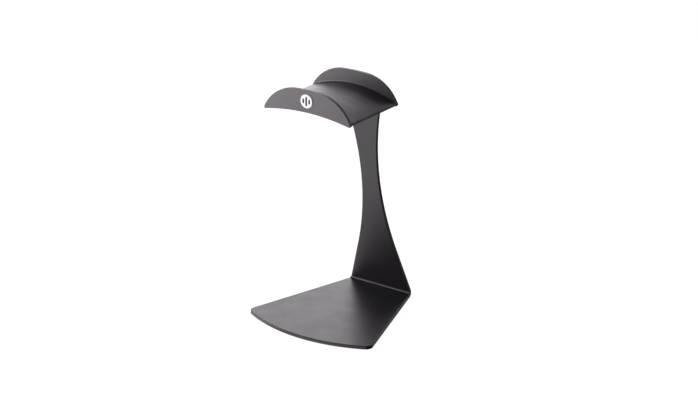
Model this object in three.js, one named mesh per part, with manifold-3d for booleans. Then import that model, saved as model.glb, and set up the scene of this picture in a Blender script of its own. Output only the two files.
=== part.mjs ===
// A desk stand for one pair of headphones.
// One sheet of steel is bent twice: a fan-shaped base, a waisted neck that leans forwards,
// and a tab at the top. A moulded saddle with two upright crescent flanges is screwed onto
// the tab from below, so that its top stays smooth. Four adhesive pads keep the base off the desk.
//
// Millimetres. +Z is up, +X is the stand's right seen from the front, and the front faces -Y.
// Inside the group, y = 0 is the virtual line where the base's top meets the neck's front face.
// The group is then moved so that the origin is on the desk under the middle of the stand's box.

import * as THREE from 'three';
import { mergeVertices } from 'three/addons/utils/BufferGeometryUtils.js';
import Module from 'manifold-3d';

const wasm = await Module();
wasm.setup();

const DEG = Math.PI / 180;

// ---- Driving dimensions ----

// Anti-slip pads and the adhesive films that hold them.
const PAD_R = 8;
const PAD_T = 1.5;
const PAD_EDGE = 0.3;
const PAD_FILM_R = 7.4;
const PAD_FILM_T = 0.2;
const PAD_PLACES = {
  front_left: [-60, -122],
  front_right: [60, -122],
  rear_left: [-30, -15],
  rear_right: [30, -15],
};

// The steel sheet.
const SHEET_T = 4;
const BEND_R = 2.5;
const LEAN = 10 * DEG;
const BASE_FRONT_Y = -157.3;
const BASE_FRONT_R = 163;
const BASE_CORNER_R = 8;
const BASE_FRONT_HALF_ANGLE = 89.4 * DEG;
const BEND_LINE_HALF = 40;
const SIDE_TAPER = 16.7 * DEG;
const WAIST_HALF = 10.95;
const WAIST_UP_NECK = 144.5;
const TAB_TOP_Z = 251.5;
const TAB_END_Y = -131;
const TAB_CORNER_R = 8;

// The saddle. Heights are above the desk.
const SADDLE_HALF_W = 54.5;
const SADDLE_FRONT_Y = -140;
const SADDLE_REAR_Y = -52.5;
const FLANGE_T = 3.5;
const FLANGE_TOP_Z = 272.1;
const FLANGE_CROWN_R = 350;
const FLANGE_CROWN_HALF = 13.8;
const FLANGE_END_R = 46.8;
const FLANGE_TIP_R = 1.6;
const SKIRT_Z = 248.2;
const SKIRT_R = 257;
const SHELL_TOP_Z = 257.6;
const SHELL_R = 135;
const SHELL_T = 2.4;
const SHELL_LAP = 0.6;
const NOTCH_SIDE_GAP = 1.2;
const NOTCH_TOP_GAP = 0.5;
const BOSS_R = 5.5;
const BOSS_LAP = 1;

// The four saddle screws, with their washers and the threaded inserts in the bosses.
const FASTENER_X = 15;
const FASTENER_Y_FROM_MIDDLE = 24;
const SCREW_R = 2;
const SCREW_LENGTH = 8;
const SCREW_TIP_CHAMFER = 0.5;
const HEAD_R = 4;
const HEAD_H = 2.6;
const HEAD_EDGE = 0.9;
const SOCKET_ACROSS_FLATS = 2.5;
const SOCKET_DEPTH = 1.5;
const WASHER_R = 4.5;
const WASHER_T = 0.8;
const CLEARANCE_HOLE_R = 2.4;
const INSERT_R = 3;
const INSERT_GROOVE = 0.3;
const INSERT_LENGTH = 4.2;
const FIT_GAP = 0.3;

// The round badge, sunk a little into the front flange.
const BADGE_Z = 260.5;
const BADGE_R = 8.3;
const BADGE_T = 0.8;
const BADGE_EDGE = 0.2;
const BADGE_FILM_R = 7.8;
const BADGE_FILM_T = 0.2;
const BADGE_RECESS_DEPTH = 0.6;

// Segments round a full small circle, along a bend and along a long outline arc.
const ROUND_STEPS = 28;
const BEND_STEPS = 12;
const ARC_STEPS = 36;

// Corners closer together than this are one corner when a geometry becomes a solid.
const MERGE_DISTANCE = 1e-4;

// ---- Sizes that follow from them ----

const BASE_UNDER_Z = PAD_T + PAD_FILM_T;
const BASE_TOP_Z = BASE_UNDER_Z + SHEET_T;
const TAB_UNDER_Z = TAB_TOP_Z - SHEET_T;
const LOWER_TURN = 90 * DEG + LEAN;
const UPPER_TURN = 90 * DEG - LEAN;
const LOWER_SETBACK = BEND_R * Math.tan(LOWER_TURN / 2);
const UPPER_SETBACK = BEND_R * Math.tan(UPPER_TURN / 2);
const NECK_LENGTH = (TAB_UNDER_Z - BASE_TOP_Z) / Math.cos(LEAN);
const WAIST_R = (WAIST_HALF + Math.tan(SIDE_TAPER) * WAIST_UP_NECK - BEND_LINE_HALF)
  / (1 / Math.cos(SIDE_TAPER) - 1);
const WAIST_ARC_START = WAIST_UP_NECK - WAIST_R * Math.sin(SIDE_TAPER);
const TAB_HALF = neckHalf(NECK_LENGTH - UPPER_SETBACK);
const SADDLE_MIDDLE_Y = (SADDLE_FRONT_Y + SADDLE_REAR_Y) / 2;
const SHELL_UNDER_R = SHELL_R - SHELL_T;
const SHELL_CENTRE_Z = SHELL_TOP_Z - SHELL_R;
const WASHER_UNDER_Z = TAB_UNDER_Z - WASHER_T;
const BASE_CENTRE_Y = BASE_FRONT_Y + BASE_FRONT_R;
const STAND_REAR_Y = -LOWER_SETBACK + BEND_R + SHEET_T;

// ---- Materials ----

function material(colour, roughness, metalness) {
  return new THREE.MeshStandardMaterial({ color: colour, roughness, metalness, flatShading: true });
}

const powderCoat = material(0x2c2b2e, 0.42, 0.1);
const mouldedPlastic = material(0x2a292c, 0.48, 0);
const badgeWhite = material(0xe8e8e6, 0.35, 0.2);
const zincSteel = material(0xb6b8bb, 0.35, 0.9);
const brass = material(0xc2a04c, 0.35, 0.9);
const padRubber = material(0x1d1d1f, 0.9, 0);
const adhesive = material(0xd9d6cc, 0.7, 0);

// ---- From three.js geometry to solids for cutting and joining, and back ----

function toSolid(geometry) {
  const bare = geometry.clone();
  bare.deleteAttribute('normal');
  bare.deleteAttribute('uv');
  const merged = mergeVertices(bare, MERGE_DISTANCE);
  const mesh = new wasm.Mesh({
    numProp: 3,
    vertProperties: new Float32Array(merged.attributes.position.array),
    triVerts: new Uint32Array(merged.index.array),
  });
  return new wasm.Manifold(mesh);
}

function toGeometry(solid) {
  const mesh = solid.getMesh();
  const geometry = new THREE.BufferGeometry();
  geometry.setAttribute('position', new THREE.BufferAttribute(new Float32Array(mesh.vertProperties), 3));
  geometry.setIndex(new THREE.BufferAttribute(new Uint32Array(mesh.triVerts), 1));
  geometry.computeVertexNormals();
  return geometry;
}

// A cylinder standing on z = lowZ.
function uprightCylinder(radius, lowZ, highZ, x, y) {
  const geometry = new THREE.CylinderGeometry(radius, radius, highZ - lowZ, ROUND_STEPS);
  geometry.rotateX(Math.PI / 2);
  geometry.translate(x, y, (lowZ + highZ) / 2);
  return geometry;
}

// A shape drawn as seen from the front, x across and z up, with its front at frontY.
function uprightPlate(shape, frontY, thickness) {
  const geometry = new THREE.ExtrudeGeometry(shape, {
    depth: thickness,
    bevelEnabled: false,
    curveSegments: ARC_STEPS,
  });
  geometry.rotateX(Math.PI / 2);
  geometry.translate(0, frontY + thickness, 0);
  return geometry;
}

// A turned ring or disc about the z axis, from [radius, height] pairs in closed order.
function turned(profile) {
  const points = profile.map(([radius, height]) => new THREE.Vector2(radius, height));
  const geometry = new THREE.LatheGeometry(points, ROUND_STEPS);
  geometry.rotateX(Math.PI / 2);
  return geometry;
}

// ---- The bent steel sheet ----

// Half width of the neck, s along its front face from the virtual bend line:
// the base's straight taper runs on, then one long arc makes the waist.
function neckHalf(s) {
  if (s < WAIST_ARC_START) {
    return BEND_LINE_HALF - Math.tan(SIDE_TAPER) * s;
  }
  const aboveWaist = s - WAIST_UP_NECK;
  return WAIST_HALF + WAIST_R - Math.sqrt(WAIST_R ** 2 - aboveWaist ** 2);
}

// The sheet as a row of stations from the front of the base to the end of the tab. Each holds
// a point of the sheet's inner face, the direction from there through the sheet, and half its width.
function sheetStations() {
  const stations = [];
  const add = (y, z, turn, half) => {
    stations.push({ y, z, throughY: Math.sin(turn), throughZ: -Math.cos(turn), half });
  };

  // Base: the front arc, then a corner arc that touches both the front arc and the straight side.
  const cornerReach = BASE_FRONT_R - BASE_CORNER_R;
  const sideFromCentre = BEND_LINE_HALF * Math.cos(SIDE_TAPER) - BASE_CENTRE_Y * Math.sin(SIDE_TAPER);
  const cornerAngle = SIDE_TAPER - Math.acos((sideFromCentre - BASE_CORNER_R) / cornerReach);
  for (let i = 0; i <= ARC_STEPS; i += 1) {
    const angle = -BASE_FRONT_HALF_ANGLE + (cornerAngle + BASE_FRONT_HALF_ANGLE) * (i / ARC_STEPS);
    const y = BASE_CENTRE_Y + BASE_FRONT_R * Math.sin(angle);
    add(y, BASE_TOP_Z, 0, BASE_FRONT_R * Math.cos(angle));
  }
  for (let i = 1; i <= BEND_STEPS; i += 1) {
    const angle = cornerAngle + (SIDE_TAPER - cornerAngle) * (i / BEND_STEPS);
    const y = BASE_CENTRE_Y + cornerReach * Math.sin(cornerAngle) + BASE_CORNER_R * Math.sin(angle);
    const half = cornerReach * Math.cos(cornerAngle) + BASE_CORNER_R * Math.cos(angle);
    add(y, BASE_TOP_Z, 0, half);
  }

  // Lower bend.
  const halfBefore = BEND_LINE_HALF + Math.tan(SIDE_TAPER) * LOWER_SETBACK;
  const halfAfter = neckHalf(LOWER_SETBACK);
  for (let i = 0; i <= BEND_STEPS; i += 1) {
    const turn = LOWER_TURN * (i / BEND_STEPS);
    const y = -LOWER_SETBACK + BEND_R * Math.sin(turn);
    const z = BASE_TOP_Z + BEND_R - BEND_R * Math.cos(turn);
    add(y, z, turn, halfBefore + (halfAfter - halfBefore) * (i / BEND_STEPS));
  }

  // Neck.
  const arcEnd = NECK_LENGTH - UPPER_SETBACK;
  for (let i = 0; i <= ARC_STEPS; i += 1) {
    const s = WAIST_ARC_START + (arcEnd - WAIST_ARC_START) * (i / ARC_STEPS);
    add(-s * Math.sin(LEAN), BASE_TOP_Z + s * Math.cos(LEAN), LOWER_TURN, neckHalf(s));
  }

  // Upper bend and tab.
  const bendCentreY = -NECK_LENGTH * Math.sin(LEAN) - UPPER_SETBACK;
  for (let i = 1; i <= BEND_STEPS; i += 1) {
    const turn = LOWER_TURN + UPPER_TURN * (i / BEND_STEPS);
    const y = bendCentreY + BEND_R * Math.sin(turn);
    const z = TAB_UNDER_Z - BEND_R - BEND_R * Math.cos(turn);
    add(y, z, turn, TAB_HALF);
  }
  for (let i = 0; i <= BEND_STEPS; i += 1) {
    const angle = 90 * DEG * (i / BEND_STEPS);
    const y = TAB_END_Y + TAB_CORNER_R * (1 - Math.sin(angle));
    add(y, TAB_UNDER_Z, Math.PI, TAB_HALF - TAB_CORNER_R * (1 - Math.cos(angle)));
  }
  return stations;
}

function bentSheet() {
  const stations = sheetStations();
  const rows = stations.length - 1;
  const geometry = new THREE.BoxGeometry(2, 1, 1, 1, rows, 1);
  const position = geometry.attributes.position;
  for (let i = 0; i < position.count; i += 1) {
    const station = stations[Math.round((0.5 - position.getY(i)) * rows)];
    const x = position.getX(i) * station.half;
    const through = (position.getZ(i) + 0.5) * SHEET_T;
    position.setXYZ(i, x, station.y + station.throughY * through, station.z + station.throughZ * through);
  }
  let sheet = toSolid(geometry);
  for (const { x, y } of fastenerPlaces()) {
    const hole = uprightCylinder(CLEARANCE_HOLE_R, TAB_UNDER_Z - 1, TAB_TOP_Z + 1, x, y);
    sheet = sheet.subtract(toSolid(hole));
  }
  return toGeometry(sheet);
}

// ---- The saddle ----

// A flange seen from the front: a flat-arched skirt below, and above it a shallow crown
// that runs into a tighter arc on each side. The tips' lower corners are rounded.
function crescent() {
  const skirtCentreZ = SKIRT_Z - SKIRT_R;
  const tipCentreX = SADDLE_HALF_W - FLANGE_TIP_R;
  const tipCentreZ = skirtCentreZ + Math.sqrt((SKIRT_R + FLANGE_TIP_R) ** 2 - tipCentreX ** 2);
  const skirtHalfAngle = Math.asin(tipCentreX / (SKIRT_R + FLANGE_TIP_R));
  const crownHalfAngle = Math.asin(FLANGE_CROWN_HALF / FLANGE_CROWN_R);
  const crownCentreZ = FLANGE_TOP_Z - FLANGE_CROWN_R;
  const endCentreX = (FLANGE_CROWN_R - FLANGE_END_R) * Math.sin(crownHalfAngle);
  const endCentreZ = crownCentreZ + (FLANGE_CROWN_R - FLANGE_END_R) * Math.cos(crownHalfAngle);
  const sideAngle = Math.acos((SADDLE_HALF_W - endCentreX) / FLANGE_END_R);
  const crownStart = 90 * DEG - crownHalfAngle;
  const crownEnd = 90 * DEG + crownHalfAngle;
  const shape = new THREE.Shape();
  shape.absarc(0, skirtCentreZ, SKIRT_R, 90 * DEG + skirtHalfAngle, 90 * DEG - skirtHalfAngle, true);
  shape.absarc(tipCentreX, tipCentreZ, FLANGE_TIP_R, 270 * DEG - skirtHalfAngle, 360 * DEG, false);
  shape.absarc(endCentreX, endCentreZ, FLANGE_END_R, sideAngle, crownStart, false);
  shape.absarc(0, crownCentreZ, FLANGE_CROWN_R, crownStart, crownEnd, false);
  shape.absarc(-endCentreX, endCentreZ, FLANGE_END_R, crownEnd, 180 * DEG - sideAngle, false);
  shape.absarc(-tipCentreX, tipCentreZ, FLANGE_TIP_R, 180 * DEG, 270 * DEG + skirtHalfAngle, false);
  shape.closePath();
  return shape;
}

function shellSection() {
  const outerHalfAngle = Math.asin(SADDLE_HALF_W / SHELL_R);
  const innerHalfAngle = Math.asin(SADDLE_HALF_W / SHELL_UNDER_R);
  const shape = new THREE.Shape();
  shape.absarc(0, SHELL_CENTRE_Z, SHELL_UNDER_R, 90 * DEG + innerHalfAngle, 90 * DEG - innerHalfAngle, true);
  shape.absarc(0, SHELL_CENTRE_Z, SHELL_R, 90 * DEG - outerHalfAngle, 90 * DEG + outerHalfAngle, false);
  shape.closePath();
  return shape;
}

function saddle() {
  const frontInnerY = SADDLE_FRONT_Y + FLANGE_T;
  const rearInnerY = SADDLE_REAR_Y - FLANGE_T;
  const shellDepth = rearInnerY - frontInnerY + 2 * SHELL_LAP;
  let body = toSolid(uprightPlate(shellSection(), frontInnerY - SHELL_LAP, shellDepth));
  body = body.add(toSolid(uprightPlate(crescent(), SADDLE_FRONT_Y, FLANGE_T)));
  body = body.add(toSolid(uprightPlate(crescent(), rearInnerY, FLANGE_T)));

  const underAtBoss = SHELL_CENTRE_Z + Math.sqrt(SHELL_UNDER_R ** 2 - FASTENER_X ** 2);
  const holeTopZ = TAB_TOP_Z + INSERT_LENGTH + FIT_GAP;
  for (const { x, y } of fastenerPlaces()) {
    const boss = uprightCylinder(BOSS_R, TAB_TOP_Z, underAtBoss + BOSS_LAP, x, y);
    const hole = uprightCylinder(INSERT_R + FIT_GAP, TAB_TOP_Z - 1, holeTopZ, x, y);
    body = body.add(toSolid(boss)).subtract(toSolid(hole));
  }

  // The rear skirt is cut away where the tab passes under it.
  const notchTopZ = TAB_TOP_Z + NOTCH_TOP_GAP;
  const notchHeight = notchTopZ - TAB_UNDER_Z;
  const notch = new THREE.BoxGeometry(2 * (TAB_HALF + NOTCH_SIDE_GAP), 3 * FLANGE_T, notchHeight);
  notch.translate(0, SADDLE_REAR_Y - FLANGE_T / 2, notchTopZ - notchHeight / 2);
  body = body.subtract(toSolid(notch));

  const recess = uprightCylinder(BADGE_R + FIT_GAP, 0, 2 * BADGE_RECESS_DEPTH, 0, 0);
  recess.rotateX(Math.PI / 2);
  recess.translate(0, SADDLE_FRONT_Y + BADGE_RECESS_DEPTH, BADGE_Z);
  body = body.subtract(toSolid(recess));
  return toGeometry(body);
}

// ---- Fasteners ----

function fastenerPlaces() {
  const places = [];
  for (const [row, side] of [['front', -1], ['rear', 1]]) {
    places.push({ name: `${row}_left`, x: -FASTENER_X, y: SADDLE_MIDDLE_Y + side * FASTENER_Y_FROM_MIDDLE });
    places.push({ name: `${row}_right`, x: FASTENER_X, y: SADDLE_MIDDLE_Y + side * FASTENER_Y_FROM_MIDDLE });
  }
  return places;
}

// A pan-head screw driven upwards: its head's bearing face is at z = 0 and its shank points up.
function panHeadScrew() {
  const edgeMidway = HEAD_EDGE * (1 - Math.SQRT1_2);
  const body = turned([
    [0, -HEAD_H],
    [HEAD_R - HEAD_EDGE, -HEAD_H],
    [HEAD_R - edgeMidway, -HEAD_H + edgeMidway],
    [HEAD_R, -HEAD_H + HEAD_EDGE],
    [HEAD_R, 0],
    [SCREW_R, 0],
    [SCREW_R, SCREW_LENGTH - SCREW_TIP_CHAMFER],
    [SCREW_R - SCREW_TIP_CHAMFER, SCREW_LENGTH],
    [0, SCREW_LENGTH],
  ]);
  const socketR = SOCKET_ACROSS_FLATS / 2 / Math.cos(30 * DEG);
  const socket = new THREE.CylinderGeometry(socketR, socketR, 2 * SOCKET_DEPTH, 6);
  socket.rotateX(Math.PI / 2);
  socket.translate(0, 0, -HEAD_H);
  return toGeometry(toSolid(body).subtract(toSolid(socket)));
}

function washer() {
  return turned([
    [SCREW_R + FIT_GAP, 0],
    [WASHER_R, 0],
    [WASHER_R, WASHER_T],
    [SCREW_R + FIT_GAP, WASHER_T],
    [SCREW_R + FIT_GAP, 0],
  ]);
}

// A brass insert with a groove between its two gripping bands.
function threadedInsert() {
  const third = INSERT_LENGTH / 3;
  return turned([
    [SCREW_R + FIT_GAP, 0],
    [INSERT_R, 0],
    [INSERT_R, third],
    [INSERT_R - INSERT_GROOVE, third + INSERT_GROOVE],
    [INSERT_R - INSERT_GROOVE, 2 * third - INSERT_GROOVE],
    [INSERT_R, 2 * third],
    [INSERT_R, INSERT_LENGTH],
    [SCREW_R + FIT_GAP, INSERT_LENGTH],
    [SCREW_R + FIT_GAP, 0],
  ]);
}

// ---- Pads and badge ----

function disc(radius, thickness, edge) {
  return turned([
    [0, 0],
    [radius - edge, 0],
    [radius, edge],
    [radius, thickness],
    [0, thickness],
  ]);
}

function plainDisc(radius, thickness) {
  return turned([
    [0, 0],
    [radius, 0],
    [radius, thickness],
    [0, thickness],
  ]);
}

// ---- Assembly ----

const stand = new THREE.Group();

function place(name, geometry, look, x, y, z) {
  const mesh = new THREE.Mesh(geometry, look);
  mesh.name = name;
  mesh.position.set(x, y, z);
  stand.add(mesh);
  return mesh;
}

place('bent_steel_stand', bentSheet(), powderCoat, 0, 0, 0);
place('headband_saddle', saddle(), mouldedPlastic, 0, 0, 0);

for (const { name, x, y } of fastenerPlaces()) {
  place(`saddle_screw_${name}`, panHeadScrew(), zincSteel, x, y, WASHER_UNDER_Z);
  place(`saddle_washer_${name}`, washer(), zincSteel, x, y, WASHER_UNDER_Z);
  place(`saddle_insert_${name}`, threadedInsert(), brass, x, y, TAB_TOP_Z);
}

for (const [name, [x, y]] of Object.entries(PAD_PLACES)) {
  place(`anti_slip_pad_${name}`, disc(PAD_R, PAD_T, PAD_EDGE), padRubber, x, y, 0);
  place(`pad_adhesive_${name}`, plainDisc(PAD_FILM_R, PAD_FILM_T), adhesive, x, y, PAD_T);
}

// The badge and its film are turned about z and tipped so that their lower face looks forwards.
const badgeFloorY = SADDLE_FRONT_Y + BADGE_RECESS_DEPTH;
const badgeFilm = place('badge_adhesive', plainDisc(BADGE_FILM_R, BADGE_FILM_T), adhesive, 0, 0, BADGE_Z);
badgeFilm.rotation.x = -Math.PI / 2;
badgeFilm.position.y = badgeFloorY - BADGE_FILM_T;
const badge = place('badge_disc', disc(BADGE_R, BADGE_T, BADGE_EDGE), badgeWhite, 0, 0, BADGE_Z);
badge.rotation.x = -Math.PI / 2;
badge.position.y = badgeFloorY - BADGE_FILM_T - BADGE_T;

stand.position.y = -(BASE_FRONT_Y + STAND_REAR_Y) / 2;

export default stand;
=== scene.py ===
"""Headphone stand: its looks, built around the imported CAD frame. Metres, +Z up, the front faces -Y."""

import math

import bmesh
import bpy
from mathutils import Matrix, Vector


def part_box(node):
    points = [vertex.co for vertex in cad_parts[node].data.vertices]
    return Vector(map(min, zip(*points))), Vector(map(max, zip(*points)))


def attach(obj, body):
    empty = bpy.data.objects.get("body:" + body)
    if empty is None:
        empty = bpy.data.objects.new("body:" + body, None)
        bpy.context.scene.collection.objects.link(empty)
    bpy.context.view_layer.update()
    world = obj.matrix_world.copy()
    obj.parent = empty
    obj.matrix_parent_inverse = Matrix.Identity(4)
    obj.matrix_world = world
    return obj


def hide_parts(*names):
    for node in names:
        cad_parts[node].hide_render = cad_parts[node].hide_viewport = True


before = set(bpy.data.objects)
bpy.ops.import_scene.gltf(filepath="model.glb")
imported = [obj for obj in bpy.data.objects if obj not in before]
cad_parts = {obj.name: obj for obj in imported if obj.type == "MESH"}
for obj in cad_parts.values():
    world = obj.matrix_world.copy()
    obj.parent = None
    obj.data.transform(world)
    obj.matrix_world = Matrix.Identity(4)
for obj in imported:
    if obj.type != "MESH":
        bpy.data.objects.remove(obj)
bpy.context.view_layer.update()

MM = 0.001
FASTENER_NAMES = ("front_left", "front_right", "rear_left", "rear_right")

# ---- Driving dimensions, the same as the CAD model's ----

SHEET_T = 4 * MM
SHEET_EDGE = 0.5 * MM
BEND_R = 2.5 * MM
LEAN = math.radians(10)
BASE_DEPTH = 157.3 * MM
BASE_FRONT_R = 163 * MM
BASE_CORNER_R = 8 * MM
BEND_LINE_HALF = 40 * MM
SIDE_TAPER = math.radians(16.7)
WAIST_HALF = 10.95 * MM
WAIST_UP_NECK = 144.5 * MM
TAB_CORNER_R = 8 * MM
CLEARANCE_HOLE_R = 2.4 * MM

FLANGE_T = 3.5 * MM
FLANGE_CROWN_R = 350 * MM
FLANGE_CROWN_HALF = 13.8 * MM
FLANGE_END_R = 46.8 * MM
FLANGE_TIP_R = 1.6 * MM
FLANGE_EDGE = 0.25 * MM
SKIRT_R = 257 * MM
SKIRT_DEPTH = 23.9 * MM
SHELL_R = 135 * MM
SHELL_T = 2.4 * MM
SHELL_BELOW_TOP = 14.5 * MM
SHELL_FILLET = 1.8 * MM
SHELL_INNER_FILLET = 1.2 * MM
SHELL_END_EDGE = 1.1 * MM
NOTCH_SIDE_GAP = 1.2 * MM
NOTCH_TOP_GAP = 0.5 * MM
NOTCH_CORNER_R = 1 * MM
NOTCH_BELOW_SKIRT = 9 * MM
BOSS_R = 5.5 * MM
BOSS_LAP = 1 * MM
BADGE_RECESS_DEPTH = 0.6 * MM
FIT_GAP = 0.3 * MM

# ---- How finely the meshes are made ----

# Points on a full circle, and steps along each curve. An outline's rounded corners have corner steps.
CIRCLE_STEPS = 64
FINE_CIRCLE_STEPS = 96
SHANK_STEPS = 48
SHANK_ROWS_PER_TURN = 10
BASE_FRONT_STEPS = 60
BASE_CORNER_STEPS = 16
TAB_CORNER_STEPS = 16
BEND_STEPS = 18
NECK_STEPS = 90
SADDLE_STEPS = 150
TIP_STEPS = 14
CORNER_STEPS = 6
BAR_END_STEPS = 8
QUARTER_STEPS = 5

# The sheet's edges are rounded where its faces meet at more than this angle.
EDGE_ROUND_ANGLE = math.radians(60)
EDGE_ROUND_SEGMENTS = 4

# Shading is smooth up to these angles between faces: the first one, unless a piece has its own.
SHARP_ANGLE = math.radians(50)
SADDLE_SHARP_ANGLE = math.radians(40)
FASTENER_SHARP_ANGLE = math.radians(35)
KNURL_SHARP_ANGLE = math.radians(30)

# Cutting tools reach past the surface they cut by this much, and this is the notch tool's outer corner.
CUT_MARGIN = 1 * MM
TOOL_CORNER_R = 0.1 * MM
# Walls that would close up keep at least this thickness, so that the solid stays one body.
LEAST_WALL = 0.02 * MM
# Points closer together than this after the cuts become one.
WELD_DISTANCE = 0.002 * MM
# A corner's rounding takes up at most this share of the shorter of its two sides.
ROUNDING_SHARE = 0.49

# ---- Places, from the frame ----

sheet_low, sheet_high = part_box("bent_steel_stand")
saddle_low, saddle_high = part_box("headband_saddle")
BASE_TOP_Z = sheet_low.z + SHEET_T
BEND_LINE_Y = sheet_low.y + BASE_DEPTH
BASE_CENTRE_Y = BASE_FRONT_R - BASE_DEPTH
TAB_TOP_Z = sheet_high.z
TAB_UNDER_Z = TAB_TOP_Z - SHEET_T
TAB_CLEAR_OF_FLANGE = 9 * MM
TAB_END_Y = saddle_low.y + TAB_CLEAR_OF_FLANGE
SADDLE_HALF_W = saddle_high.x
SKIRT_Z = saddle_high.z - SKIRT_DEPTH
SHELL_TOP_Z = saddle_high.z - SHELL_BELOW_TOP
SHELL_CENTRE_Z = SHELL_TOP_Z - SHELL_R


# ---- Small mesh helpers ----


def spaced(start, end, count):
    """count + 1 evenly spaced values, both ends included."""
    return [start + (end - start) * i / count for i in range(count + 1)]


def mesh_object(name, vertices, faces):
    """An object from vertices and faces, with its normals turned outwards."""
    data = bpy.data.meshes.new(name)
    data.from_pydata([tuple(v) for v in vertices], [], faces)
    made = bmesh.new()
    made.from_mesh(data)
    bmesh.ops.recalc_face_normals(made, faces=made.faces)
    made.to_mesh(data)
    made.free()
    obj = bpy.data.objects.new(name, data)
    bpy.context.scene.collection.objects.link(obj)
    return obj


def loft(name, rings, closed=False):
    """A solid through rings of equally many points. Its ends are capped, or joined if it is closed."""
    count = len(rings[0])
    vertices = [p for ring in rings for p in ring]
    faces = []
    for i in range(len(rings) if closed else len(rings) - 1):
        here = i * count
        there = ((i + 1) % len(rings)) * count
        for j in range(count):
            k = (j + 1) % count
            faces.append((here + j, here + k, there + k, there + j))
    if not closed:
        faces.append(tuple(range(count)))
        faces.append(tuple(range(len(vertices) - count, len(vertices))))
    return mesh_object(name, vertices, faces)


def turned(name, profile, around=CIRCLE_STEPS):
    """A solid turned about z from (radius, height) pairs: from axis to axis, or a closed ring section."""
    ring = profile[0][0] > 0 and profile[-1][0] > 0
    vertices, faces = [], []
    rows = []
    for radius, height in profile:
        if radius == 0:
            rows.append([len(vertices)] * around)
            vertices.append((0, 0, height))
            continue
        rows.append(list(range(len(vertices), len(vertices) + around)))
        for i in range(around):
            angle = 2 * math.pi * i / around
            vertices.append((radius * math.cos(angle), radius * math.sin(angle), height))
    pairs = list(zip(rows, rows[1:]))
    if ring:
        pairs.append((rows[-1], rows[0]))
    for lower, upper in pairs:
        for i in range(around):
            k = (i + 1) % around
            face = [lower[i], lower[k], upper[k], upper[i]]
            faces.append(tuple(dict.fromkeys(face)))
    return mesh_object(name, vertices, faces)


def rounded_polygon(corners, corner_steps):
    """A closed outline whose (u, v, radius) corners are rounded in that many steps each."""
    outline = []
    for i, (u, v, radius) in enumerate(corners):
        here = Vector((u, v))
        before = Vector(corners[i - 1][:2]) - here
        after = Vector(corners[(i + 1) % len(corners)][:2]) - here
        room = ROUNDING_SHARE * min(before.length, after.length)
        before.normalize()
        after.normalize()
        half_angle = before.angle(after) / 2
        setback = min(radius / math.tan(half_angle), room)
        true_radius = setback * math.tan(half_angle)
        centre = here + (before + after).normalized() * (true_radius / math.sin(half_angle))
        start = here + before * setback - centre
        sweep = start.angle_signed(here + after * setback - centre)
        for k in range(corner_steps + 1):
            turn = -sweep * k / corner_steps
            cos, sin = math.cos(turn), math.sin(turn)
            u_here = centre.x + start.x * cos - start.y * sin
            v_here = centre.y + start.x * sin + start.y * cos
            outline.append((u_here, v_here))
    return outline


def add_modifier(obj, kind, **settings):
    """A modifier, with its properties set by name."""
    modifier = obj.modifiers.new(kind.lower(), kind)
    for key, value in settings.items():
        setattr(modifier, key, value)


def apply_modifiers(obj):
    """Puts what the modifiers make into the mesh itself."""
    graph = bpy.context.evaluated_depsgraph_get()
    data = bpy.data.meshes.new_from_object(obj.evaluated_get(graph))
    obj.modifiers.clear()
    obj.data = data


def cut(obj, tool, operation="DIFFERENCE"):
    """Cuts obj with tool, or joins them, and removes the tool."""
    add_modifier(obj, "BOOLEAN", object=tool, operation=operation, solver="EXACT")
    apply_modifiers(obj)
    bpy.data.objects.remove(tool)


def smooth(obj, sharp_angle=SHARP_ANGLE):
    """Smooth shading that keeps flat faces flat, with hard lines only at edges sharper than the angle."""
    obj.data.shade_smooth()
    obj.data.set_sharp_from_angle(angle=sharp_angle)
    add_modifier(obj, "WEIGHTED_NORMAL", weight=100, keep_sharp=True)
    apply_modifiers(obj)


def cylinder(name, radius, low, high, around=CIRCLE_STEPS):
    """A cylinder about z, as a cutting tool or a boss."""
    return turned(name, [(0, low), (radius, low), (radius, high), (0, high)], around)


def move_to(obj, node, height=None):
    """Moves a piece made about z to the middle of a CAD node, at the node's foot or at the height given."""
    low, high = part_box(node)
    z = low.z if height is None else height
    obj.location = ((low.x + high.x) / 2, (low.y + high.y) / 2, z)


def finish_piece(obj, slot, material, *nodes):
    """Gives a piece its material and the body it rides on, and hides the CAD nodes it stands for."""
    obj.data.materials.clear()
    obj.data.materials.append(material)
    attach(obj, "root")
    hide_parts(*nodes)


# ---- Materials ----

# The index of refraction of coats, plastics and films.
COATING_IOR = 1.5
# Both black surfaces shine faintly violet.
VIOLET_SHEEN = (1.0, 0.975, 1.0, 1)
WHITE_SHEEN = (1, 1, 1, 1)
# Nearly all of a noise texture's values lie between these two.
NOISE_LOW = 0.3
NOISE_HIGH = 0.7


def new_material(name, roughness, metallic=0.0, sheen=WHITE_SHEEN):
    """A node material with its uniform values on the shader's own sockets."""
    material = bpy.data.materials.new(name)
    material.use_nodes = True
    shader = material.node_tree.nodes["Principled BSDF"]
    shader.inputs["Roughness"].default_value = roughness
    shader.inputs["Metallic"].default_value = metallic
    shader.inputs["IOR"].default_value = COATING_IOR
    shader.inputs["Specular Tint"].default_value = sheen
    return material, material.node_tree, shader


def add_node(tree, kind, **values):
    """A node, with its inputs and properties set by name."""
    node = tree.nodes.new(kind)
    for key, value in values.items():
        if key in node.inputs:
            node.inputs[key].default_value = value
        else:
            setattr(node, key, value)
    return node


def place_vector(tree, scale=(1, 1, 1)):
    """The point on the object in metres, stretched by scale."""
    where = add_node(tree, "ShaderNodeTexCoord")
    mapping = add_node(tree, "ShaderNodeMapping", Scale=scale)
    tree.links.new(where.outputs["Object"], mapping.inputs["Vector"])
    return mapping.outputs["Vector"]


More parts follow.
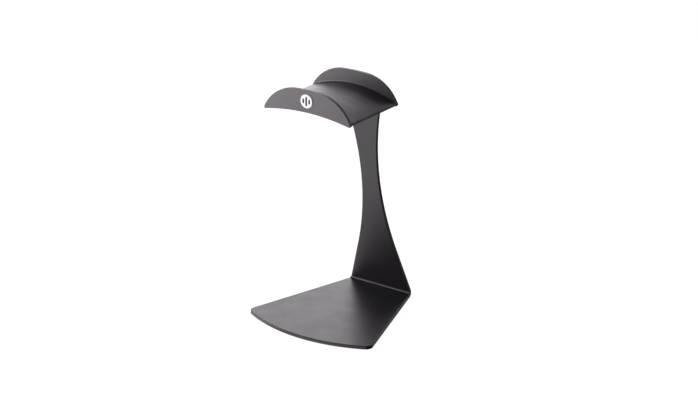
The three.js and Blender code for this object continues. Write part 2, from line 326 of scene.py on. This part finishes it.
def noise(tree, vector, scale, detail):
    """Noise with that many features per metre."""
    node = add_node(tree, "ShaderNodeTexNoise", Scale=scale, Detail=detail, Roughness=0.5)
    tree.links.new(vector, node.inputs["Vector"])
    return node.outputs["Fac"]


def vary_colour(tree, shader, factor, first, second):
    """A base colour that drifts between two colours with the noise."""
    node = tree.nodes.new("ShaderNodeValToRGB")
    stops = ((NOISE_LOW, first), (NOISE_HIGH, second))
    for element, (position, colour) in zip(node.color_ramp.elements, stops):
        element.position = position
        element.color = (*colour, 1)
    tree.links.new(factor, node.inputs["Fac"])
    tree.links.new(node.outputs["Color"], shader.inputs["Base Color"])


def vary_roughness(tree, shader, factor, low, high):
    """A roughness that the noise spreads from low to high."""
    node = add_node(tree, "ShaderNodeMapRange")
    node.inputs["From Min"].default_value = NOISE_LOW
    node.inputs["From Max"].default_value = NOISE_HIGH
    node.inputs["To Min"].default_value = low
    node.inputs["To Max"].default_value = high
    tree.links.new(factor, node.inputs["Value"])
    tree.links.new(node.outputs["Result"], shader.inputs["Roughness"])


def bump(tree, shader, height, distance, strength, below=None):
    """A bump of that height in metres, on top of another one."""
    node = add_node(tree, "ShaderNodeBump", Strength=strength, Distance=distance)
    tree.links.new(height, node.inputs["Height"])
    if below is not None:
        tree.links.new(below, node.inputs["Normal"])
    tree.links.new(node.outputs["Normal"], shader.inputs["Normal"])
    return node.outputs["Normal"]


def powder_coat():
    """Satin black powder coat: a fine grain over a soft orange peel."""
    material, tree, shader = new_material("powder_coat", 0.38, sheen=VIOLET_SHEEN)
    where = place_vector(tree)
    grain = noise(tree, where, 2600, 2)
    peel = noise(tree, where, 620, 2)
    vary_colour(tree, shader, noise(tree, where, 22, 4), (0.0056, 0.0046, 0.0062), (0.0080, 0.0068, 0.0086))
    vary_roughness(tree, shader, noise(tree, where, 60, 5), 0.36, 0.42)
    lower = bump(tree, shader, peel, 0.03 * MM, 0.6)
    bump(tree, shader, grain, 0.02 * MM, 0.8, lower)
    return material


def moulded_plastic():
    """Satin black plastic, with faint streaks and bands along the arc from moulding."""
    material, tree, shader = new_material("moulded_plastic", 0.44, sheen=VIOLET_SHEEN)
    where = place_vector(tree)
    along_arc = place_vector(tree, (0.04, 1, 0.04))
    streaks = noise(tree, along_arc, 900, 3)
    bands = noise(tree, along_arc, 260, 4)
    grain = noise(tree, where, 3000, 2)
    vary_colour(tree, shader, noise(tree, where, 30, 4), (0.072, 0.069, 0.073), (0.084, 0.081, 0.085))
    vary_roughness(tree, shader, bands, 0.39, 0.49)
    lower = bump(tree, shader, streaks, 0.02 * MM, 0.5)
    bump(tree, shader, grain, 0.02 * MM, 0.8, lower)
    return material


def badge_white():
    """White print under a thin clear lacquer."""
    material, tree, shader = new_material("badge_white", 0.3)
    where = place_vector(tree)
    vary_colour(tree, shader, noise(tree, where, 900, 3), (0.84, 0.84, 0.83), (0.88, 0.88, 0.87))
    vary_roughness(tree, shader, noise(tree, where, 2500, 2), 0.26, 0.34)
    bump(tree, shader, noise(tree, where, 1500, 2), 0.01 * MM, 0.5)
    shader.inputs["Coat Weight"].default_value = 0.3
    shader.inputs["Coat Roughness"].default_value = 0.12
    return material


def badge_black():
    """The badge's black printing ink."""
    material, tree, shader = new_material("badge_black", 0.35)
    where = place_vector(tree)
    vary_colour(tree, shader, noise(tree, where, 1200, 3), (0.008, 0.008, 0.009), (0.012, 0.012, 0.013))
    vary_roughness(tree, shader, noise(tree, where, 2500, 2), 0.3, 0.4)
    return material


def zinc():
    """Zinc plating on the screws and washers."""
    material, tree, shader = new_material("zinc_plating", 0.32, metallic=1.0)
    where = place_vector(tree)
    vary_colour(tree, shader, noise(tree, where, 400, 4), (0.55, 0.56, 0.58), (0.68, 0.69, 0.71))
    vary_roughness(tree, shader, noise(tree, where, 1500, 3), 0.26, 0.4)
    bump(tree, shader, noise(tree, where, 3500, 2), 0.01 * MM, 0.6)
    return material


def brass():
    """Turned brass, with fine tool marks round the inserts' axes."""
    material, tree, shader = new_material("turned_brass", 0.3, metallic=1.0)
    where = place_vector(tree, (1, 1, 12))
    vary_colour(tree, shader, noise(tree, where, 500, 3), (0.66, 0.5, 0.24), (0.77, 0.61, 0.32))
    vary_roughness(tree, shader, noise(tree, where, 900, 3), 0.24, 0.38)
    bump(tree, shader, noise(tree, where, 1200, 2), 0.01 * MM, 0.6)
    return material


def pad_rubber():
    """Matt black cellular rubber."""
    material, tree, shader = new_material("cellular_rubber", 0.85)
    where = place_vector(tree)
    cells = add_node(tree, "ShaderNodeTexVoronoi", Scale=2600.0)
    tree.links.new(where, cells.inputs["Vector"])
    vary_colour(tree, shader, noise(tree, where, 300, 4), (0.012, 0.012, 0.0125), (0.022, 0.022, 0.023))
    vary_roughness(tree, shader, noise(tree, where, 900, 3), 0.78, 0.92)
    bump(tree, shader, cells.outputs["Distance"], 0.1 * MM, 0.7)
    return material


def adhesive_film():
    """Pale acrylic adhesive film."""
    material, tree, shader = new_material("adhesive_film", 0.5)
    where = place_vector(tree)
    vary_colour(tree, shader, noise(tree, where, 350, 4), (0.68, 0.66, 0.6), (0.78, 0.76, 0.7))
    vary_roughness(tree, shader, noise(tree, where, 1100, 3), 0.42, 0.6)
    bump(tree, shader, noise(tree, where, 800, 3), 0.03 * MM, 0.5)
    return material


# ---- The bent steel sheet ----

LOWER_TURN = math.radians(90) + LEAN
UPPER_TURN = math.radians(90) - LEAN
LOWER_SETBACK = BEND_R * math.tan(LOWER_TURN / 2)
UPPER_SETBACK = BEND_R * math.tan(UPPER_TURN / 2)
NECK_LENGTH = (TAB_UNDER_Z - BASE_TOP_Z) / math.cos(LEAN)
# The rounded waist is this much wider, on each side, than the straight tapers would be there.
WAIST_OVER_TAPER = WAIST_HALF + math.tan(SIDE_TAPER) * WAIST_UP_NECK - BEND_LINE_HALF
WAIST_R = WAIST_OVER_TAPER / (1 / math.cos(SIDE_TAPER) - 1)
WAIST_ARC_START = WAIST_UP_NECK - WAIST_R * math.sin(SIDE_TAPER)


def neck_half(s):
    """Half width of the neck at s along its front face from the virtual bend line."""
    if s < WAIST_ARC_START:
        return BEND_LINE_HALF - math.tan(SIDE_TAPER) * s
    above_waist = s - WAIST_UP_NECK
    return WAIST_HALF + WAIST_R - math.sqrt(WAIST_R**2 - above_waist**2)


TAB_HALF = neck_half(NECK_LENGTH - UPPER_SETBACK)


def base_outline():
    """The base's right side as (y, half width), from the front's middle to where the lower bend starts."""
    corner_reach = BASE_FRONT_R - BASE_CORNER_R
    side_from_centre = BEND_LINE_HALF * math.cos(SIDE_TAPER) - BASE_CENTRE_Y * math.sin(SIDE_TAPER)
    corner_angle = SIDE_TAPER - math.acos((side_from_centre - BASE_CORNER_R) / corner_reach)
    outline = []
    for angle in spaced(-math.pi / 2, corner_angle, BASE_FRONT_STEPS):
        outline.append((BASE_CENTRE_Y + BASE_FRONT_R * math.sin(angle), BASE_FRONT_R * math.cos(angle)))
    for angle in spaced(corner_angle, SIDE_TAPER, BASE_CORNER_STEPS)[1:]:
        y = BASE_CENTRE_Y + corner_reach * math.sin(corner_angle) + BASE_CORNER_R * math.sin(angle)
        outline.append((y, corner_reach * math.cos(corner_angle) + BASE_CORNER_R * math.cos(angle)))
    return outline


def bend_and_neck_stations():
    """(y, z, turn, half width) of the sheet's inner face, from the start of the lower bend to the tab."""
    stations = []
    half_before = BEND_LINE_HALF + math.tan(SIDE_TAPER) * LOWER_SETBACK
    half_after = neck_half(LOWER_SETBACK)
    for part in spaced(0, 1, BEND_STEPS):
        turn = LOWER_TURN * part
        y = -LOWER_SETBACK + BEND_R * math.sin(turn)
        z = BASE_TOP_Z + BEND_R - BEND_R * math.cos(turn)
        stations.append((y, z, turn, half_before + (half_after - half_before) * part))
    for s in spaced(WAIST_ARC_START, NECK_LENGTH - UPPER_SETBACK, NECK_STEPS):
        stations.append((-s * math.sin(LEAN), BASE_TOP_Z + s * math.cos(LEAN), LOWER_TURN, neck_half(s)))
    bend_centre_y = -NECK_LENGTH * math.sin(LEAN) - UPPER_SETBACK
    for part in spaced(0, 1, BEND_STEPS)[1:]:
        turn = LOWER_TURN + UPPER_TURN * part
        y = bend_centre_y + BEND_R * math.sin(turn)
        stations.append((y, TAB_UNDER_Z - BEND_R - BEND_R * math.cos(turn), turn, TAB_HALF))
    return stations


def tab_outline():
    """The tab's right side as (y, half width), from its rounded corner's start to its end."""
    tab_end = TAB_END_Y - BEND_LINE_Y
    outline = []
    for angle in spaced(0, math.pi / 2, TAB_CORNER_STEPS):
        y = tab_end + TAB_CORNER_R * (1 - math.sin(angle))
        outline.append((y, TAB_HALF - TAB_CORNER_R * (1 - math.cos(angle))))
    return outline


def bent_sheet():
    """One closed sheet: a flat base, two bends, the neck and the tab, all of one thickness."""
    vertices, faces = [], []

    def add_pair(x, y, z, turn):
        """A point of the inner face and the one through the sheet from it."""
        index = len(vertices)
        vertices.append((x, y + BEND_LINE_Y, z))
        vertices.append((x, y + BEND_LINE_Y + SHEET_T * math.sin(turn), z - SHEET_T * math.cos(turn)))
        return index

    stations = bend_and_neck_stations()
    left = [add_pair(-half, y, z, turn) for y, z, turn, half in stations]
    right = [add_pair(half, y, z, turn) for y, z, turn, half in stations]
    for i in range(len(stations) - 1):
        a, b, c, d = left[i], right[i], right[i + 1], left[i + 1]
        faces.append((a, b, c, d))
        faces.append((a + 1, b + 1, c + 1, d + 1))
        faces.append((a, d, d + 1, a + 1))
        faces.append((b, c, c + 1, b + 1))

    def add_flat(outline, z, turn, start_left, start_right):
        """A flat end of the sheet, bounded by an outline from the bend round to the bend."""
        ring = [start_right]
        ring += [add_pair(half, y, z, turn) for y, half in outline if half > 0]
        ring += [add_pair(0, y, z, turn) for y, half in outline[-1:] if half == 0]
        ring += [add_pair(-half, y, z, turn) for y, half in reversed(outline) if half > 0]
        ring.append(start_left)
        faces.append(tuple(ring))
        faces.append(tuple(i + 1 for i in ring))
        for i, j in zip(ring, ring[1:]):
            faces.append((i, j, j + 1, i + 1))

    base = list(reversed(base_outline()[1:])) + [(-BASE_DEPTH, 0)]
    add_flat(base, BASE_TOP_Z, 0, left[0], right[0])
    add_flat(tab_outline(), TAB_UNDER_Z, math.pi, left[-1], right[-1])
    sheet = mesh_object("bent_steel_sheet", vertices, faces)
    add_modifier(sheet, "BEVEL", width=SHEET_EDGE, segments=EDGE_ROUND_SEGMENTS, limit_method="ANGLE",
                 angle_limit=EDGE_ROUND_ANGLE, use_clamp_overlap=False)
    apply_modifiers(sheet)
    for name in FASTENER_NAMES:
        hole = cylinder("hole", CLEARANCE_HOLE_R, TAB_UNDER_Z - CUT_MARGIN, TAB_TOP_Z + CUT_MARGIN)
        move_to(hole, f"saddle_washer_{name}", 0)
        bpy.context.view_layer.update()
        cut(sheet, hole)
    smooth(sheet)
    return sheet


# ---- The moulded saddle ----


def flange_top(x):
    """Height of a flange's top edge: a shallow crown, then a tighter arc towards each tip."""
    crown_angle = math.asin(FLANGE_CROWN_HALF / FLANGE_CROWN_R)
    crown_centre_z = saddle_high.z - FLANGE_CROWN_R
    if abs(x) < FLANGE_CROWN_HALF:
        return crown_centre_z + math.sqrt(FLANGE_CROWN_R**2 - x**2)
    end_centre_x = (FLANGE_CROWN_R - FLANGE_END_R) * math.sin(crown_angle)
    end_centre_z = crown_centre_z + (FLANGE_CROWN_R - FLANGE_END_R) * math.cos(crown_angle)
    return end_centre_z + math.sqrt(FLANGE_END_R**2 - (abs(x) - end_centre_x) ** 2)


TIP_CENTRE_X = SADDLE_HALF_W - FLANGE_TIP_R
TIP_CENTRE_Z = SKIRT_Z - SKIRT_R + math.sqrt((SKIRT_R + FLANGE_TIP_R) ** 2 - TIP_CENTRE_X**2)
TIP_START_X = TIP_CENTRE_X * SKIRT_R / (SKIRT_R + FLANGE_TIP_R)


def flange_foot(x):
    """Height of a flange's lower edge: the skirt's flat arch, rounded up at each tip."""
    if abs(x) < TIP_START_X:
        return SKIRT_Z - SKIRT_R + math.sqrt(SKIRT_R**2 - x**2)
    return TIP_CENTRE_Z - math.sqrt(max(0, FLANGE_TIP_R**2 - (abs(x) - TIP_CENTRE_X) ** 2))


def saddle_section(x):
    """The saddle's outline across x: two flanges joined by the shell, with soft edges and fillets."""
    near_end = max(0, abs(x) - (SADDLE_HALF_W - SHELL_END_EDGE))
    rounding = SHELL_END_EDGE - math.sqrt(max(0, SHELL_END_EDGE**2 - near_end**2))
    flange_rounding = min(rounding, FLANGE_EDGE)
    front, rear = saddle_low.y + flange_rounding, saddle_high.y - flange_rounding
    front_inner, rear_inner = front + FLANGE_T - 2 * flange_rounding, rear - FLANGE_T + 2 * flange_rounding
    shell_top = SHELL_CENTRE_Z + math.sqrt(SHELL_R**2 - x**2) - rounding
    shell_under = SHELL_CENTRE_Z + math.sqrt((SHELL_R - SHELL_T) ** 2 - x**2) + rounding
    top = max(flange_top(x), shell_top + LEAST_WALL)
    skirt = min(flange_foot(x), shell_under - LEAST_WALL)
    edge = FLANGE_EDGE
    corners = [
        (front, skirt, edge),
        (front, top, edge),
        (front_inner, top, edge),
        (front_inner, shell_top, SHELL_FILLET),
        (rear_inner, shell_top, SHELL_FILLET),
        (rear_inner, top, edge),
        (rear, top, edge),
        (rear, skirt, edge),
        (rear_inner, skirt, edge),
        (rear_inner, shell_under, SHELL_INNER_FILLET),
        (front_inner, shell_under, SHELL_INNER_FILLET),
        (front_inner, skirt, edge),
    ]
    return [(x, y, z) for y, z in rounded_polygon(corners, CORNER_STEPS)]


def saddle():
    """The arched shell with its two crescent flanges, four bosses, the tab's notch and the badge's recess."""
    tip_angles = spaced(0, math.pi / 2, TIP_STEPS)
    right_end = [TIP_CENTRE_X + FLANGE_TIP_R * math.sin(angle) for angle in tip_angles]
    left_end = [-x for x in reversed(right_end)]
    stations = left_end + spaced(-TIP_CENTRE_X, TIP_CENTRE_X, SADDLE_STEPS)[1:-1] + right_end
    body = loft("arched_saddle", [saddle_section(x) for x in stations])

    insert_low, insert_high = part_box("saddle_insert_front_right")
    insert_r = (insert_high.x - insert_low.x) / 2
    fastener_x = (insert_high.x + insert_low.x) / 2
    under_at_boss = SHELL_CENTRE_Z + math.sqrt((SHELL_R - SHELL_T) ** 2 - fastener_x**2)
    for name in FASTENER_NAMES:
        boss = cylinder("boss", BOSS_R, TAB_TOP_Z, under_at_boss + BOSS_LAP)
        hole = cylinder("hole", insert_r + FIT_GAP, TAB_TOP_Z - CUT_MARGIN, insert_high.z + FIT_GAP)
        for tool in (boss, hole):
            move_to(tool, f"saddle_insert_{name}", 0)
        bpy.context.view_layer.update()
        cut(body, boss, "UNION")
        cut(body, hole)

    notch_half = TAB_HALF + NOTCH_SIDE_GAP
    notch_top = TAB_TOP_Z + NOTCH_TOP_GAP
    notch_foot = SKIRT_Z - NOTCH_BELOW_SKIRT
    corners = [
        (-notch_half, notch_foot, TOOL_CORNER_R),
        (-notch_half, notch_top, NOTCH_CORNER_R),
        (notch_half, notch_top, NOTCH_CORNER_R),
        (notch_half, notch_foot, TOOL_CORNER_R),
    ]
    outline = rounded_polygon(corners, CORNER_STEPS)
    ends = (saddle_high.y - 2 * FLANGE_T, saddle_high.y + FLANGE_T)
    notch = loft("notch", [[(x, y, z) for x, z in outline] for y in ends])
    cut(body, notch)

    badge_low, badge_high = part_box("badge_disc")
    recess_r = (badge_high.x - badge_low.x) / 2 + FIT_GAP
    recess = cylinder("recess", recess_r, -BADGE_RECESS_DEPTH, BADGE_RECESS_DEPTH, FINE_CIRCLE_STEPS)
    recess.rotation_euler.x = math.pi / 2
    recess.location = (0, saddle_low.y, (badge_low.z + badge_high.z) / 2)
    bpy.context.view_layer.update()
    cut(body, recess)
    add_modifier(body, "WELD", merge_threshold=WELD_DISTANCE)
    apply_modifiers(body)
    smooth(body, SADDLE_SHARP_ANGLE)
    return body


# ---- Fasteners, pads and badge ----

SCREW_R = 2 * MM
THREAD_PITCH = 0.7 * MM
THREAD_DEPTH = 0.35 * MM
# The thread's tip narrows to this share of its radius, over the last part of the shank.
TIP_SHARE = 0.75
HEAD_R = 4 * MM
HEAD_EDGE = 0.9 * MM
SOCKET_ACROSS_FLATS = 2.5 * MM
SOCKET_DEPTH = 1.5 * MM
# The socket ends in a drill cone of this height, as a share of its radius.
SOCKET_CONE_SHARE = 0.4
# The head has a core of this share of the shank's radius, which reaches up into the shank.
CORE_SHARE = 0.6
CORE_LAP = 1 * MM
WASHER_EDGE = 0.15 * MM
KNURL_DEPTH = 0.2 * MM
KNURL_TEETH = 24
GROOVE_DEPTH = 0.3 * MM
PAD_EDGE = 0.3 * MM
FILM_T = 0.2 * MM
BADGE_EDGE = 0.2 * MM
BADGE_BACK_CHAMFER = 0.05 * MM


def quarter(centre, radius, start):
    """Profile points of a quarter round, anticlockwise from the start angle in degrees."""
    first = math.radians(start)
    angles = spaced(first, first + math.pi / 2, QUARTER_STEPS)
    return [(centre[0] + radius * math.cos(a), centre[1] + radius * math.sin(a)) for a in angles]


def threaded_shank(length):
    """A screw's shank up to z = length, ridged along a helix and narrower at the tip."""
    count = int(length / THREAD_PITCH * SHANK_ROWS_PER_TURN)
    rings = []
    for i in range(count + 1):
        z = length * i / count
        tip = min(1, (length - z) / SCREW_R + TIP_SHARE)
        ring = []
        for k in range(SHANK_STEPS):
            angle = 2 * math.pi * k / SHANK_STEPS
            phase = (z / THREAD_PITCH - k / SHANK_STEPS) % 1
            ridge = abs(2 * phase - 1)
            radius = (SCREW_R - THREAD_DEPTH * ridge) * tip
            ring.append((radius * math.cos(angle), radius * math.sin(angle), z))
        rings.append(ring)
    return loft("shank", rings)


def screw(name):
    """A pan-head screw with a hex socket, driven upwards. Its head's seat is at z = 0 before it is placed."""
    low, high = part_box(f"saddle_screw_{name}")
    washer_low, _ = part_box(f"saddle_washer_{name}")
    head_h = washer_low.z - low.z
    core_r = SCREW_R * CORE_SHARE
    profile = [(0, -head_h)]
    profile += quarter((HEAD_R - HEAD_EDGE, -head_h + HEAD_EDGE), HEAD_EDGE, -90)
    profile += [(HEAD_R, -WASHER_EDGE), (HEAD_R - WASHER_EDGE, 0)]
    profile += [(core_r, 0), (core_r, CORE_LAP), (0, CORE_LAP)]
    head = turned("screw", profile)
    socket_r = SOCKET_ACROSS_FLATS / 2 / math.cos(math.pi / 6)
    socket_foot = SOCKET_DEPTH - head_h
    cone_end = socket_foot + socket_r * SOCKET_CONE_SHARE
    socket_profile = [(0, -2 * head_h), (socket_r, -2 * head_h), (socket_r, socket_foot), (0, cone_end)]
    cut(head, turned("socket", socket_profile, 6))
    cut(head, threaded_shank(high.z - washer_low.z), "UNION")
    move_to(head, f"saddle_screw_{name}", washer_low.z)
    head.name = f"pan_head_screw_{name}"
    smooth(head, FASTENER_SHARP_ANGLE)
    return head


def washer(name):
    """A flat washer with rounded outer edges."""
    low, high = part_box(f"saddle_washer_{name}")
    outer = (high.x - low.x) / 2
    inner = SCREW_R + FIT_GAP
    thick = high.z - low.z
    profile = quarter((outer - WASHER_EDGE, WASHER_EDGE), WASHER_EDGE, -90)
    profile += quarter((outer - WASHER_EDGE, thick - WASHER_EDGE), WASHER_EDGE, 0)
    profile += [(inner, thick), (inner, 0)]
    ring = turned(f"flat_washer_{name}", profile)
    move_to(ring, f"saddle_washer_{name}")
    smooth(ring, FASTENER_SHARP_ANGLE)
    return ring


def threaded_insert(name):
    """A brass insert: two bands of straight knurling with a groove between them."""
    low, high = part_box(f"saddle_insert_{name}")
    outer = (high.x - low.x) / 2
    inner = SCREW_R + FIT_GAP
    length = high.z - low.z
    third = length / 3
    groove_r = outer - GROOVE_DEPTH
    bands = [  # (radius, height, 1 where knurled)
        (inner, 0, 0),
        (outer - KNURL_DEPTH, 0, 0),
        (outer, KNURL_DEPTH, 1),
        (outer, third, 1),
        (groove_r, third + GROOVE_DEPTH, 0),
        (groove_r, 2 * third - GROOVE_DEPTH, 0),
        (outer, 2 * third, 1),
        (outer, length - KNURL_DEPTH, 1),
        (outer - KNURL_DEPTH, length, 0),
        (inner, length, 0),
    ]
    rings = []
    for i in range(2 * KNURL_TEETH):
        angle = math.pi * i / KNURL_TEETH
        ring = []
        for radius, z, knurled in bands:
            radius -= KNURL_DEPTH * knurled * (i % 2)
            ring.append((radius * math.cos(angle), radius * math.sin(angle), z))
        rings.append(ring)
    sleeve = loft(f"knurled_insert_{name}", rings, closed=True)
    move_to(sleeve, f"saddle_insert_{name}")
    smooth(sleeve, KNURL_SHARP_ANGLE)
    return sleeve


def pad(name):
    """A round rubber pad, rounded more at its foot than at its top."""
    low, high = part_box(f"anti_slip_pad_{name}")
    radius, thick = (high.x - low.x) / 2, high.z - low.z
    profile = [(0, 0), *quarter((radius - PAD_EDGE, PAD_EDGE), PAD_EDGE, -90)]
    profile += [*quarter((radius - PAD_EDGE / 2, thick - PAD_EDGE / 2), PAD_EDGE / 2, 0), (0, thick)]
    made = turned(f"rubber_pad_{name}", profile)
    move_to(made, f"anti_slip_pad_{name}")
    smooth(made)
    return made


def film(node, name):
    """A thin adhesive disc with a soft rim, lying flat at z = 0."""
    low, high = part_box(node)
    radius, rim = (high.x - low.x) / 2, FILM_T / 4
    profile = [(0, 0), *quarter((radius - rim, rim), rim, -90)]
    profile += [*quarter((radius - rim, FILM_T - rim), rim, 0), (0, FILM_T)]
    made = turned(name, profile)
    smooth(made)
    return made


def facing_front(obj, y, z):
    """Tips a piece that was turned about z so that it stands upright and looks forwards from y."""
    obj.rotation_euler.x = math.pi / 2
    obj.location = (0, y, z)
    return obj


def badge_disc():
    """The badge's plate, with a rounded front edge."""
    low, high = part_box("badge_disc")
    radius, thick = (high.x - low.x) / 2, high.y - low.y
    profile = [(0, 0), (radius - BADGE_BACK_CHAMFER, 0)]
    profile += [*quarter((radius - BADGE_EDGE, thick - BADGE_EDGE), BADGE_EDGE, 0), (0, thick)]
    made = turned("badge_plate", profile, FINE_CIRCLE_STEPS)
    smooth(made)
    return facing_front(made, high.y, (low.z + high.z) / 2)


# A generic sound-level motif: upright bars as (x, half height), all of one width.
LEVEL_BARS = [(-3.7 * MM, 2.6 * MM), (0, 5.1 * MM), (3.7 * MM, 2.6 * MM)]
LEVEL_BAR_HALF_W = 1.1 * MM
PRINT_T = 0.06 * MM
RIM_BAND_W = 0.85 * MM


def badge_print():
    """The level bars printed on the badge's face, and a dark band round its rim."""
    low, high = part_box("badge_disc")
    radius = (high.x - low.x) / 2
    pieces = []
    for x, half_height in LEVEL_BARS:
        left, right = x - LEVEL_BAR_HALF_W, x + LEVEL_BAR_HALF_W
        places = [(left, -half_height), (right, -half_height), (right, half_height), (left, half_height)]
        outline = rounded_polygon([(u, v, LEVEL_BAR_HALF_W) for u, v in places], BAR_END_STEPS)
        pieces.append(loft("bar", [[(u, v, z) for u, v in outline] for z in (-PRINT_T, PRINT_T)]))
    # A dark band just inside the disc's rounded edge.
    outer = radius - BADGE_EDGE
    inner = outer - RIM_BAND_W
    rim_profile = [(inner, -PRINT_T), (outer, -PRINT_T), (outer, PRINT_T), (inner, PRINT_T)]
    pieces.append(turned("rim", rim_profile, FINE_CIRCLE_STEPS))
    joined = bmesh.new()
    for piece in pieces:
        joined.from_mesh(piece.data)
        bpy.data.objects.remove(piece)
    data = bpy.data.meshes.new("badge_print")
    joined.to_mesh(data)
    joined.free()
    made = bpy.data.objects.new("badge_print", data)
    bpy.context.scene.collection.objects.link(made)
    return facing_front(made, low.y, (low.z + high.z) / 2)


# ---- Assembly ----

coat, plastic, white, black = powder_coat(), moulded_plastic(), badge_white(), badge_black()
plating, yellow, rubber, clear = zinc(), brass(), pad_rubber(), adhesive_film()

finish_piece(bent_sheet(), "powder_coated_steel", coat, "bent_steel_stand")
finish_piece(saddle(), "moulded_plastic", plastic, "headband_saddle")
for side in FASTENER_NAMES:
    finish_piece(screw(side), "zinc_steel", plating, f"saddle_screw_{side}")
    finish_piece(washer(side), "zinc_steel", plating, f"saddle_washer_{side}")
    finish_piece(threaded_insert(side), "brass", yellow, f"saddle_insert_{side}")
    finish_piece(pad(side), "pad_rubber", rubber, f"anti_slip_pad_{side}")
    pad_film = film(f"pad_adhesive_{side}", f"pad_film_{side}")
    move_to(pad_film, f"pad_adhesive_{side}")
    finish_piece(pad_film, "adhesive_film", clear, f"pad_adhesive_{side}")
film_low, film_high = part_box("badge_adhesive")
badge_film = film("badge_adhesive", "badge_film")
facing_front(badge_film, film_high.y, (film_low.z + film_high.z) / 2)
finish_piece(badge_film, "adhesive_film", clear, "badge_adhesive")
finish_piece(badge_disc(), "badge_white", white, "badge_disc")
finish_piece(badge_print(), "badge_white", black)

# ---- Floor, lights and camera ----

FLOOR_HALF = 8.0
FLOOR_GREY = (0.2, 0.2, 0.2, 1)
FLOOR_GLOW = 0.96

# Softboxes as (name, height they aim at, azimuth, elevation, distance, side, radiance).
# Azimuth 0 is in front, 90 on the right.
SOFTBOXES = [
    ("softbox_front", 0.2, -30, 10, 0.5, 0.3, 2.85),
    ("softbox_front_left", 0.2, -60, 10, 0.5, 0.3, 6.8),
    ("softbox_back", 0.13, 210, 12, 0.95, 0.5, 1.26),
    ("softbox_back_left", 0.13, 240, 12, 0.95, 0.5, 1.3),
]
# Faintly violet, like the light on the powder coat.
LIGHT_COLOUR = (1.0, 0.962, 0.995)

# White surroundings as (azimuth, elevation, radiance, fade angle). A glow is even up to half the fade
# angle from its middle, and gone at the fade angle.
GLOWS = [
    (225, 12, 1.6, 40),
    (190, 15, 1.42, 28),
    (270, -15, 1.5, 40),
    (315, -40, 1.26, 40),
    (0, -40, 1.47, 40),
    (180, -40, 0.31, 40),
    (45, 15, 0.4, 36),
    (140, 10, 0.6, 28),
]
# The light from everywhere else.
FILL = 0.03


def studio_floor():
    """A white table that glows by itself, as lit acrylic does, so that shadows on it stay faint."""
    h = FLOOR_HALF
    corners = [(-h, -h, 0), (h, -h, 0), (h, h, 0), (-h, h, 0)]
    floor = mesh_object("studio_floor", corners, [(0, 1, 2, 3)])
    material, _, shader = new_material("studio_floor", 0.9)
    shader.inputs["Base Color"].default_value = FLOOR_GREY
    shader.inputs["Specular IOR Level"].default_value = 0.0
    shader.inputs["Emission Color"].default_value = (1, 1, 1, 1)
    shader.inputs["Emission Strength"].default_value = FLOOR_GLOW
    floor.data.materials.append(material)
    floor.visible_glossy = False
    floor.visible_diffuse = False
    return floor


def direction(azimuth, elevation):
    """The direction from the stand to a light. Azimuth 0 is in front, and 90 on the right."""
    a, e = math.radians(azimuth), math.radians(elevation)
    return Vector((math.sin(a) * math.cos(e), -math.cos(a) * math.cos(e), math.sin(e)))


def softbox(name, aim_height, azimuth, elevation, distance, side, radiance):
    """A square area light that looks at the stand's axis."""
    away = direction(azimuth, elevation)
    data = bpy.data.lights.new(name, "AREA")
    data.shape = "SQUARE"
    data.size = side
    data.energy = radiance * math.pi * side * side
    data.color = LIGHT_COLOUR
    obj = bpy.data.objects.new(name, data)
    obj.location = Vector((0, 0, aim_height)) + away * distance
    obj.rotation_mode = "QUATERNION"
    obj.rotation_quaternion = away.to_track_quat("Z", "Y")
    obj.visible_camera = False
    bpy.context.scene.collection.objects.link(obj)


def surroundings():
    """The world: a faint even light, with the glows added to it one by one."""
    world = bpy.data.worlds.new("surroundings")
    bpy.context.scene.world = world
    world.use_nodes = True
    tree = world.node_tree
    where = add_node(tree, "ShaderNodeTexCoord")
    total = add_node(tree, "ShaderNodeValue").outputs["Value"]
    total.default_value = FILL
    for azimuth, elevation, radiance, fade_angle in GLOWS:
        towards = add_node(tree, "ShaderNodeVectorMath", operation="DOT_PRODUCT")
        towards.inputs[1].default_value = direction(azimuth, elevation)
        tree.links.new(where.outputs["Generated"], towards.inputs[0])
        glow = add_node(tree, "ShaderNodeMapRange", interpolation_type="SMOOTHSTEP")
        glow.inputs["From Min"].default_value = math.cos(math.radians(fade_angle))
        glow.inputs["From Max"].default_value = math.cos(math.radians(fade_angle / 2))
        glow.inputs["To Max"].default_value = radiance
        tree.links.new(towards.outputs["Value"], glow.inputs["Value"])
        added = add_node(tree, "ShaderNodeMath", operation="ADD")
        tree.links.new(glow.outputs["Result"], added.inputs[0])
        tree.links.new(total, added.inputs[1])
        total = added.outputs["Value"]
    background = tree.nodes["Background"]
    background.inputs["Color"].default_value = (*LIGHT_COLOUR, 1)
    tree.links.new(total, background.inputs["Strength"])


CAMERA_PLACE = Vector((1.093869, -1.557094, 0.878463))
CAMERA_AIM = Vector((-0.049157, 0.084856, 0.089847))
CAMERA_ROLL = math.radians(0.504)
# The lens and the width of the sensor are in millimetres.
CAMERA_LENS = 98.84
CAMERA_SENSOR = 36


def studio_camera():
    """A long lens in front, to the right and above, rolled by a hair."""
    data = bpy.data.cameras.new("camera")
    data.sensor_fit = "HORIZONTAL"
    data.sensor_width = CAMERA_SENSOR
    data.lens = CAMERA_LENS
    camera = bpy.data.objects.new("camera", data)
    bpy.context.scene.collection.objects.link(camera)
    away = (CAMERA_PLACE - CAMERA_AIM).normalized()
    across = Vector((0, 0, 1)).cross(away).normalized()
    upwards = away.cross(across)
    right = across * math.cos(CAMERA_ROLL) + upwards * math.sin(CAMERA_ROLL)
    up = upwards * math.cos(CAMERA_ROLL) - across * math.sin(CAMERA_ROLL)
    turn = Matrix((right, up, away)).transposed().to_4x4()
    camera.matrix_world = Matrix.Translation(CAMERA_PLACE) @ turn
    return camera


studio_floor()
for settings in SOFTBOXES:
    softbox(*settings)
surroundings()
bpy.context.scene.camera = studio_camera()
bpy.context.scene.view_settings.view_transform = "Standard"
